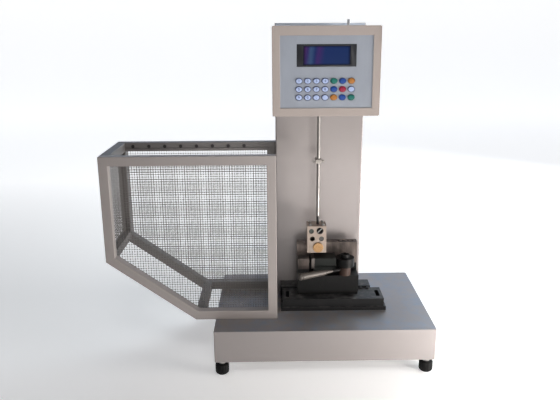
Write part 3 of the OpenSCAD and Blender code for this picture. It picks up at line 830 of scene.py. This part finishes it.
@dataclass
class Base:
    """The base's housing and its four screw feet."""

    height: float = 65.0
    foot_h: float = 30.0
    foot_r: float = 13.5
    flutes: int = 12
    flute_in: float = 0.85
    foot_x: float = 201.5
    foot_y: tuple[float, float] = (15.0, 275.0)

    def build(self) -> None:
        """Dresses the housing and builds the feet."""
        dress("base_housing", BASE_PAINT, 1.0)
        for row, y in zip("fr", self.foot_y):
            self.foot(f"foot_{row}l", -self.foot_x, y)
            self.foot(f"foot_{row}r", self.foot_x, y)

    def foot(self, name: str, x: float, y: float) -> None:
        """Builds one foot: a fluted rubber pad, and the stud with its collar.

        Args:
            name: the foot's node and body.
            x: its place across the base.
            y: its place back from the front.
        """
        low = -self.height - self.foot_h
        pad = Form()
        rings = ((-3.6, 0.0), (-0.8, 2.6), (0.0, 4.2), (0.0, 18.6), (-0.6, 20.2), (-3.6, 22.0))
        radius = (self.foot_r + rings[0][0]) * MM
        edges = edges_at(bmesh.ops.create_circle(pad.bm, cap_ends=True, segments=72, radius=radius,
                                                 matrix=Matrix.Translation(place(x, y, low)))["verts"])
        centre = place(x, y, 0.0).to_2d()
        for inset, height in rings[1:]:
            grown = bmesh.ops.extrude_edge_only(pad.bm, edges=edges)["geom"]
            edges = edges_of(grown)
            depth = self.flute_in if inset > -2.0 else 0.0
            for vert in verts_of(grown):
                ray = vert.co.to_2d() - centre
                flute = depth * max(0.0, math.cos(self.flutes * math.atan2(ray.y, ray.x))) ** 3
                ray = ray.normalized() * (self.foot_r + inset - flute) * MM
                vert.co = (centre.x + ray.x, centre.y + ray.y, place(0, 0, low + height).z)
        bmesh.ops.contextual_create(pad.bm, geom=edges)
        pad.piece(name + "_pad", name, RUBBER, (name,), smooth_under=28.0)
        stud = Form()
        stud.lathe([(0, 22.05), (7.0, 22.05), (7.0, 29.2), (6.4, 29.9), (5.0, 29.9), (5.0, 60.0), (0, 61.5)],
                   (x, y, low), (0, 0, 1), 36)
        stud.piece(name + "_stud", name, STEEL)


@dataclass
class Column:
    """The column, its rear cover and what its head carries."""

    def build(self) -> None:
        """Dresses the column's nodes."""
        dress_all((
            ("column_shell", SILVER, 1.0), ("rear_cover", SILVER, 0.4), ("cover_screws", STEEL, 0.4),
            ("cable_gland", BLACK_PLASTIC, 0.5), ("bearing_housing", ALUMINIUM, 0.4),
            ("bearings", STEEL, 0.3), ("encoder", BLACK_PLASTIC, 0.5), ("box_bracket", SILVER, 0.5),
            ("release_latch", LATCH_PLATE, 0.5)))


@dataclass
class ControlBox:
    """The control box: shell, panel, display and keys."""

    panel_y: float = 61.5
    panel_t: float = 3.0
    border_back: float = 0.3
    border_gap: float = 0.1
    recess: float = 0.9
    screen_gap: float = 0.05
    window: tuple[float, float, float, float] = (-53.5, 493.0, 54.5, 533.0)
    screen_inset: tuple[float, float, float, float] = (12.0, 3.2, 11.0, 3.2)
    key_first: tuple[float, float] = (-49.3, 468.0)
    key_pitch: tuple[float, float] = (15.9, 14.9)
    key_size: tuple[float, float] = (6.5, 5.25)
    key_proud: float = 2.0
    colours: tuple[str, ...] = ("WWWWGBO", "WWWWBRW", "WWWWOBG")
    digits: tuple[str, ...] = ("1234", "5678", "90.")
    digit_size: float = 6.6

    def build(self) -> None:
        """Builds the display and the keys, and dresses the rest."""
        dress_all((("box_shell", BOX_PAINT, 0.8), ("front_panel", PANEL_FILM, 0.0),
                   ("lcd_module", BLACK_PLASTIC, 0.3)))
        self.display()
        names = {c.name[0]: c for c in KeyColour}
        for row, letters in enumerate(self.colours):
            for col, letter in enumerate(letters):
                self.key(row, col, names[letter], self.digits[row][col:col + 1])

    def display(self) -> None:
        """Builds the window's border and the screen set back in it."""
        x0, z0, x1, z1 = self.window
        left, low, right, top = self.screen_inset
        face, gap = self.panel_y + self.border_back, self.border_gap
        border = Form()
        border.block((x0 + gap, face, z0 + gap), (x1 - gap, self.panel_y + self.panel_t + 1.0, z1 - gap))
        front = min(border.bm.faces, key=lambda f: f.calc_center_median().y)
        bmesh.ops.inset_region(border.bm, faces=[front], thickness=low * MM, depth=0.0, use_even_offset=True)
        a, b = place(x0 + left, 0, z0 + low), place(x1 - right, 0, z1 - top)
        for vert in front.verts:
            vert.co.x = a.x if vert.co.x < (a.x + b.x) / 2 else b.x
        sunk = bmesh.ops.extrude_face_region(border.bm, geom=[front])["geom"]
        if front.is_valid:
            border.bm.faces.remove(front)
        bmesh.ops.translate(border.bm, vec=(0, self.recess * MM, 0), verts=verts_of(sunk))
        border.soften(0.25)
        border.piece("window_border", "frame", PANE, ("display_window",))
        x0, z0, x1, z1 = x0 + left, z0 + low, x1 - right, z1 - top
        gap = self.screen_gap
        screen = Form()
        screen.block((x0 + gap, face + 0.6, z0 + gap), (x1 - gap, face + 0.88, z1 - gap))
        glass = DotDisplay("dot_display", (0.004, 0.006, 0.02), (x0, 0.0, z0), (x1, 1.0, z1))
        screen.piece("screen", "frame", glass)

    def key(self, row: int, col: int, colour: KeyColour, digit: str) -> None:
        """Builds one key.

        Args:
            row: its row, from 0 at the top.
            col: its column, from 0 at the left.
            colour: its cap's colour.
            digit: the figure on it, or nothing.
        """
        name = f"key_{row + 1}{col + 1}"
        x = self.key_first[0] + col * self.key_pitch[0]
        z = self.key_first[1] - row * self.key_pitch[1]
        wide, high = self.key_size
        face = self.panel_y - self.key_proud
        middle = place(x, 0, z)
        oval = (Matrix.Translation(middle) @ Matrix.Diagonal((wide / high, 1.0, 1.0, 1.0))
                @ Matrix.Translation(-middle))
        spin = (x, face, z), (0, 1, 0), 32
        cap = Form()
        cap.lathe([(0, 0.0), (3.2, 0.05), (4.2, 0.2), (4.5, 0.42), (4.5, 1.0), (0, 1.0)], *spin)
        cap.move(oval)
        cap.piece(name + "_cap", name, colour.value, (name,))
        rim = Form()
        rim.lathe([(4.55, 0.55), (4.65, 0.35), (5.0, 0.42), (5.17, 0.75), (5.2, 5.0), (4.55, 5.0),
                   (4.55, 0.55)], *spin)
        rim.move(oval)
        rim.piece(name + "_rim", name, KEY_RIM if colour is KeyColour.WHITE else colour.value)
        if digit:
            self.figure(name, digit, x, face, z)

    def figure(self, name: str, digit: str, x: float, face: float, z: float) -> None:
        """Prints a figure on a key's cap as a thin flat mesh.

        Args:
            name: the key's name.
            digit: the figure.
            x: the middle of the cap across the panel.
            face: how far back the cap's face lies.
            z: the height of the cap's middle.
        """
        text = bpy.data.curves.new(name + "_figure", "FONT")
        text.body, text.size, text.extrude = digit, self.digit_size * MM, 0.04 * MM
        text.align_x, text.align_y = "CENTER", "CENTER"
        passing = bpy.data.objects.new("passing", text)
        mesh = bpy.data.meshes.new_from_object(passing)
        bpy.data.objects.remove(passing)
        bpy.data.curves.remove(text)
        figure = Form()
        figure.bm.from_mesh(mesh)
        bpy.data.meshes.remove(mesh)
        figure.move(Matrix.Translation(place(x, face - 0.02, z)) @ Matrix.Rotation(math.pi / 2, 4, "X"))
        figure.piece(name + "_figure", name, KEY_INK)


@dataclass
class Pendulum:
    """Shaft, hub, rod and hammer."""

    x: float = -8.0
    weight_z: float = 132.5
    weight_r: float = 10.45
    front: float = 104.5
    back: float = 140.0
    proud: float = 3.0

    def build(self) -> None:
        """Dresses the pendulum and builds the weight."""
        dress_all((
            ("pendulum_shaft", STEEL, 0.4), ("pendulum_hub", STEEL, 0.6), ("pendulum_rod", ROD_STEEL, 0.0),
            ("catch_bar", CATCH_STEEL, 0.4), ("rod_stud", OXIDE, 0.0), ("hammer_block", HAMMER_STEEL, 0.5),
            ("hammer_screws", PIN_STEEL, 0.25)))
        self.weight()

    def weight(self) -> None:
        """Builds the brass weight with its turned face and chamfer."""
        weight = Form()
        r, length = self.weight_r, self.back - self.front + self.proud
        weight.lathe([(0, 0.0), (1.0, 0.0), (1.2, 0.3), (1.4, 0.0), (9.8, 0.0), (r, 0.6), (r, length - 0.6),
                      (9.8, length), (0, length)],
                     (self.x, self.front - self.proud, self.weight_z), (0, 1, 0), 56)
        brass = Turned("turned_brass", (0.49, 0.295, 0.145), (self.x, self.front, self.weight_z))
        weight.piece("brass_weight", "pendulum", brass, ("hammer_weight",))


@dataclass
class Vise:
    """The specimen vise, its clamp and the screws with black heads."""

    cam_x: float = 49.0
    cam_y: float = 118.0
    lever_z: float = 80.0
    lever_turn: float = 204.0

    def build(self) -> None:
        """Dresses the vise and builds the lever."""
        dress_all((
            ("vise_base", SLAB_BLACK, 0.8), ("vise_body", VISE_BLACK, 0.8), ("moving_jaw", JAW_BLACK, 0.8),
            ("jaw_plate", JAW_STEEL, 0.3), ("clamp_cam", CAM, 0.5), ("cap_screws", SCREW_BLACK, 0.3)))
        self.lever()

    def lever(self) -> None:
        """Builds the lever: a dark neck, and a grip with a pointed nose, a collar and a domed end."""
        angle = math.radians(self.lever_turn)
        foot, axis = (self.cam_x, self.cam_y, self.lever_z), (math.cos(angle), math.sin(angle), 0)
        neck = Form()
        neck.lathe([(0, 12.0), (3.0, 12.0), (3.0, 24.5), (2.6, 25.0), (2.6, 29.0), (0, 29.0)], foot, axis, 32)
        neck.piece("lever_neck", "lever", OXIDE, ("clamp_lever",))
        grip = Form()
        grip.lathe([(0, 29.05), (2.0, 29.05), (2.7, 30.0), (3.4, 36.5), (3.9, 42.0), (4.6, 42.6), (4.9, 43.4),
                    (4.9, 44.4), (4.4, 45.2), (5.2, 46.4), (5.6, 49.0), (6.2, 66.0), (6.8, 84.0), (7.2, 99.0),
                    (6.5, 99.8), (6.5, 100.8), (7.25, 101.6), (7.25, 103.4), (6.6, 105.4), (5.0, 106.8),
                    (0, 107.0)], foot, axis, 48)
        grip.piece("lever_grip", "lever", LEVER_GRIP, smooth_under=32.0)


@dataclass
class Guard:
    """The mesh guard: two frames of square tube, cross bars and three panels of woven wire."""

    left: float = -424.0
    right: float = -92.0
    top: float = 332.0
    bar: float = 18.0
    front_y: float = 54.0
    rear_y: float = 222.0
    cut: tuple[float, float] = (170.0, 123.5)
    lap: float = 6.0
    side_in: float = 3.0
    side_rim: float = 4.0
    thick: float = 2.2
    shy: float = 0.5
    pitch: float = 5.0
    wire_r: float = 0.5

    def build(self) -> None:
        """Dresses the frames and weaves the panels."""
        dress_all((("guard_front", GUARD_PAINT, 1.0), ("guard_rear", GUARD_SHADED, 1.0),
                   ("guard_cross_bars", GUARD_SHADED, 0.8)))
        self.flat_panel("mesh_front", self.front_y + self.bar)
        self.flat_panel("mesh_rear", self.rear_y - self.bar - self.thick)
        self.side_panel()

    def outline(self, t: float) -> list[tuple[float, float]]:
        """The guard's outline, set in on all sides.

        Args:
            t: how far.

        Returns:
            X and Z of its five corners.
        """
        run = math.hypot(*self.cut)
        nx, nz = self.cut[1] / run, self.cut[0] / run
        corner = self.left + self.cut[0]
        x = self.left + t
        return [(x, self.top - t), (x, (t - nx * (x - corner)) / nz), (corner + t * (1 - nz) / nx, t),
                (self.right - t, t), (self.right - t, self.top - t)]

    def steps(self, low: float, high: float) -> list[float]:
        """Spaces wires evenly.

        Args:
            low: one end of the opening.
            high: its other end.

        Returns:
            The places of the wires between them.
        """
        count = int((high - low) / self.pitch)
        step = (high - low) / count
        return [low + i * step for i in range(1, count)]

    def woven(self, us: list[float], vs: list[float], u_ends: Point, v_ends: Point) -> BMesh:
        """Weaves a flat panel.

        Args:
            us: places of the upright wires.
            vs: places of the level wires.
            u_ends: where the level wires end.
            v_ends: where the upright wires end.

        Returns:
            The wires in X and Z, in millimetres, with the middle of the weave at Y = 0.
        """
        cloth = bmesh.new()
        for upright in (True, False):
            own, other, ends = (us, vs, v_ends) if upright else (vs, us, u_ends)
            stops = [ends[0], *other, ends[1]]
            for odd in (0, 1):
                wire = bmesh.new()
                ring = bmesh.ops.create_circle(wire, segments=6, radius=self.wire_r,
                                               matrix=Matrix.Translation((0, 0, stops[0])))["verts"]
                edges = edges_at(ring)
                for count, stop in enumerate(stops[1:]):
                    grown = bmesh.ops.extrude_edge_only(wire, edges=edges)["geom"]
                    ring, edges = verts_of(grown), edges_of(grown)
                    side = (1 if (count + odd + upright) % 2 else -1) * self.wire_r
                    if stop == stops[-1]:
                        side = 0.0
                    middle = sum((v.co for v in ring), Vector()) / len(ring)
                    bmesh.ops.translate(wire, verts=ring, vec=(0, side - middle.y, stop - middle.z))
                if not upright:
                    bmesh.ops.rotate(wire, verts=wire.verts, cent=(0, 0, 0),
                                     matrix=Matrix.Rotation(math.pi / 2, 3, "Y"))
                mesh = bpy.data.meshes.new("passing")
                wire.to_mesh(mesh)
                wire.free()
                for spot in own[odd::2]:
                    first = len(cloth.verts)
                    cloth.from_mesh(mesh)
                    cloth.verts.ensure_lookup_table()
                    bmesh.ops.translate(cloth, verts=cloth.verts[first:],
                                        vec=(spot, 0, 0) if upright else (0, 0, spot))
                bpy.data.meshes.remove(mesh)
        return cloth

    def hang(self, node: str, cloth: BMesh, matrix: Matrix) -> None:
        """Makes a piece of a woven cloth.

        Args:
            node: the CAD node that it stands for.
            cloth: the wires, which are used up.
            matrix: the way from the weave to the part's frame.
        """
        bmesh.ops.transform(cloth, matrix=matrix, verts=cloth.verts)
        bmesh.ops.holes_fill(cloth, edges=[edge for edge in cloth.edges if edge.is_boundary], sides=0)
        panel = Form()
        panel.take(cloth)
        panel.piece(node + "_cloth", "frame", WIRE, (node,), smooth_under=70.0)

    def flat_panel(self, node: str, y: float) -> None:
        """Weaves the front or rear panel and its border strip.

        Args:
            node: the CAD node that it stands for.
            y: where the panel's front lies.
        """
        inner = self.outline(self.bar - self.lap / 2)
        left, right, top, low = inner[0][0], inner[3][0], inner[0][1], inner[2][1]
        cloth = self.woven(self.steps(self.left + self.bar, self.right - self.bar),
                           self.steps(self.bar, self.top - self.bar), (left, right), (low, top))
        a, b = inner[1], inner[2]
        normal = Vector((b[1] - a[1], 0, a[0] - b[0]))
        bmesh.ops.bisect_plane(cloth, geom=cloth.verts[:] + cloth.edges[:] + cloth.faces[:], dist=1e-5,
                               plane_co=(a[0], 0, a[1]), plane_no=normal, clear_outer=True)
        self.hang(node, cloth, Matrix.Translation(place(0, y + self.thick / 2, 0)) @ Matrix.Scale(MM, 4))
        self.border(node + "_strip", [place(u, y, v) for u, v in self.outline(self.bar - self.lap)],
                    self.lap - self.shy, Vector((0.0, self.thick, 0.0)))

    def side_panel(self) -> None:
        """Weaves the panel of the left side."""
        x, lap = self.left + self.side_in, self.side_rim
        y0, y1 = self.front_y + self.bar, self.rear_y - self.bar
        z0, z1 = self.cut[1] + self.bar, self.top - self.bar
        cloth = self.woven(self.steps(y0 + lap, y1 - lap), self.steps(z0 + lap, z1 - lap),
                           (y0 + lap / 2, y1 - lap / 2), (z0 + lap / 2, z1 - lap / 2))
        matrix = Matrix.Translation(place(x + self.thick / 2, 0, 0)) @ Matrix.Scale(MM, 4)
        self.hang("mesh_side", cloth, matrix @ Matrix.Rotation(math.pi / 2, 4, "Z"))
        self.border("mesh_side_strip", [place(x, y, z) for y, z in ((y0, z0), (y1, z0), (y1, z1), (y0, z1))],
                    lap, Vector((self.thick, 0.0, 0.0)))

    def border(self, name: str, corners: Sequence[Point], width: float, depth: Vector) -> None:
        """Makes the strip that binds a panel's edge.

        Args:
            name: the piece's name.
            corners: the outer corners in the part's frame, in metres.
            width: the strip's width in millimetres.
            depth: the way from its one side to the other, in millimetres.
        """
        strip = Form()
        face = strip.bm.faces.new([strip.bm.verts.new(corner) for corner in corners])
        strip.bm.normal_update()
        bmesh.ops.inset_region(strip.bm, faces=[face], thickness=width * MM, use_even_offset=True,
                               use_boundary=True)
        bmesh.ops.delete(strip.bm, geom=[face], context="FACES_ONLY")
        grown = bmesh.ops.extrude_face_region(strip.bm, geom=strip.bm.faces[:])["geom"]
        bmesh.ops.translate(strip.bm, vec=depth * MM, verts=verts_of(grown))
        bmesh.ops.recalc_face_normals(strip.bm, faces=strip.bm.faces)
        strip.soften(0.3)
        strip.piece(name, "frame", GUARD_SHADED)


@dataclass(frozen=True)
class Lamp:
    """A soft square lamp: where it stands, what it points at and its side in metres, its power in watts.

    The spread is the angle of its cone in degrees.
    """

    name: str
    spot: Point
    aim: Point
    size: float
    power: float
    tint: Colour
    spread: float = 180.0

    def build(self) -> None:
        """Adds the lamp."""
        light = bpy.data.lights.new(self.name, "AREA")
        light.spread = math.radians(self.spread)
        light.size, light.energy, light.color = self.size, self.power, self.tint
        lamp = bpy.data.objects.new(self.name, light)
        lamp.location = self.spot
        lamp.rotation_euler = (Vector(self.aim) - Vector(self.spot)).to_track_quat("-Z", "Y").to_euler()
        bpy.context.scene.collection.objects.link(lamp)


@dataclass
class Studio:
    """The floor, the lights and the camera at the photograph's angle."""

    lamps: tuple[Lamp, ...] = (
        Lamp("side", (1.3, -0.35, 0.25), (0.2, -0.05, 0.1), 0.4, 10.2, (1.0, 0.96, 0.93)),
        Lamp("low", (0.62, -0.42, 0.08), (0.30, -0.145, 0.06), 0.15, 4.0, (1.0, 0.95, 0.91)),
        Lamp("front", (0.25, -1.3, 0.15), (0.05, 0.0, 0.4), 0.3, 1.8, (1.0, 0.96, 0.93)),
        Lamp("left", (-1.4, -0.25, 0.5), (-0.2, 0.0, 0.3), 0.5, 2.9, (1.0, 0.97, 0.95)),
        Lamp("rear", (1.3, 1.3, 1.0), (0.15, 0.0, 0.2), 0.8, 20.0, (0.84, 0.94, 1.0)),
        Lamp("fill", (0.05, -1.05, 1.5), (0.05, 0.0, 0.45), 0.8, 2.0, (1.0, 0.97, 0.95)),
        Lamp("head", (0.05, -1.05, 1.5), (0.05, -0.05, 0.60), 0.6, 0.55, (0.97, 0.98, 1.0), spread=40.0))
    floor_half: float = 9.0
    bend_y: float = 4.0
    bend_r: float = 2.0
    eye: Triple = (-97.7, -1070.2, 555.8)
    yaw: float = 0.99
    pitch: float = -15.35
    roll: float = -0.27
    focal_px: float = 614.6
    centre_px: tuple[float, float] = (283.6, 199.7)
    image_px: tuple[int, int] = (560, 400)

    def build(self) -> None:
        """Builds the floor, the world, the lights and the camera."""
        self.floor()
        self.world()
        for lamp in self.lamps:
            lamp.build()
        self.camera()

    def floor(self) -> None:
        """Builds a pale sweep: a floor that curves up into a wall far behind."""
        bm = bmesh.new()
        half = self.floor_half
        bmesh.ops.create_grid(bm, x_segments=1, y_segments=40, size=1.0,
                              matrix=Matrix.Diagonal((half, half, 1.0, 1.0)))
        for vert in bm.verts:
            past = vert.co.y - self.bend_y
            if past > 0:
                angle = min(past / self.bend_r, math.pi / 2)
                rise = max(0.0, past - self.bend_r * math.pi / 2)
                vert.co.y = self.bend_y + self.bend_r * math.sin(angle)
                vert.co.z = self.bend_r * (1 - math.cos(angle)) + rise
        mesh = bpy.data.meshes.new("studio_sweep")
        bm.to_mesh(mesh)
        bm.free()
        mesh.shade_smooth()
        mesh.materials.append(FLOOR.material())
        sweep = bpy.data.objects.new("studio_sweep", mesh)
        bpy.context.scene.collection.objects.link(sweep)

    def world(self) -> None:
        """Sets a very faint, even sky, and the plain view of colours."""
        world = bpy.data.worlds.new("studio")
        world.use_nodes = True
        sky = world.node_tree.nodes["Background"]
        sky.inputs[0].default_value = (0.93, 0.96, 1.0, 1.0)
        sky.inputs[1].default_value = 0.01
        scene = bpy.context.scene
        scene.world = world
        scene.view_settings.view_transform = "Standard"

    def camera(self) -> None:
        """Sets the camera up as the photograph's."""
        yaw, pitch, roll = (math.radians(a) for a in (self.yaw, self.pitch, self.roll))
        ahead = Vector((math.sin(yaw) * math.cos(pitch), math.cos(yaw) * math.cos(pitch), math.sin(pitch)))
        right = Vector((math.cos(yaw), -math.sin(yaw), 0.0))
        up = right.cross(ahead)
        right, up = math.cos(roll) * right + math.sin(roll) * up, math.cos(roll) * up - math.sin(roll) * right
        data = bpy.data.cameras.new("camera")
        width, height = self.image_px
        data.sensor_width = 36.0
        data.lens = self.focal_px * data.sensor_width / width
        data.shift_x = (width / 2 - self.centre_px[0]) / width
        data.shift_y = (self.centre_px[1] - height / 2) / width
        data.clip_end = 60.0
        camera = bpy.data.objects.new("camera", data)
        turn = Matrix((right, up, -ahead)).transposed().to_4x4()
        camera.matrix_world = Matrix.Translation(place(*self.eye)) @ turn
        bpy.context.scene.collection.objects.link(camera)
        bpy.context.scene.camera = camera


def main() -> None:
    """Builds the studio and the machine."""
    logging.basicConfig(level=logging.INFO, format="%(name)s: %(message)s")
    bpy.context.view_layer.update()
    Studio().build()
    for assembly in (Base(), Column(), ControlBox(), Pendulum(), Vise(), Guard()):
        assembly.build()


if __name__ == "__main__":
    main()
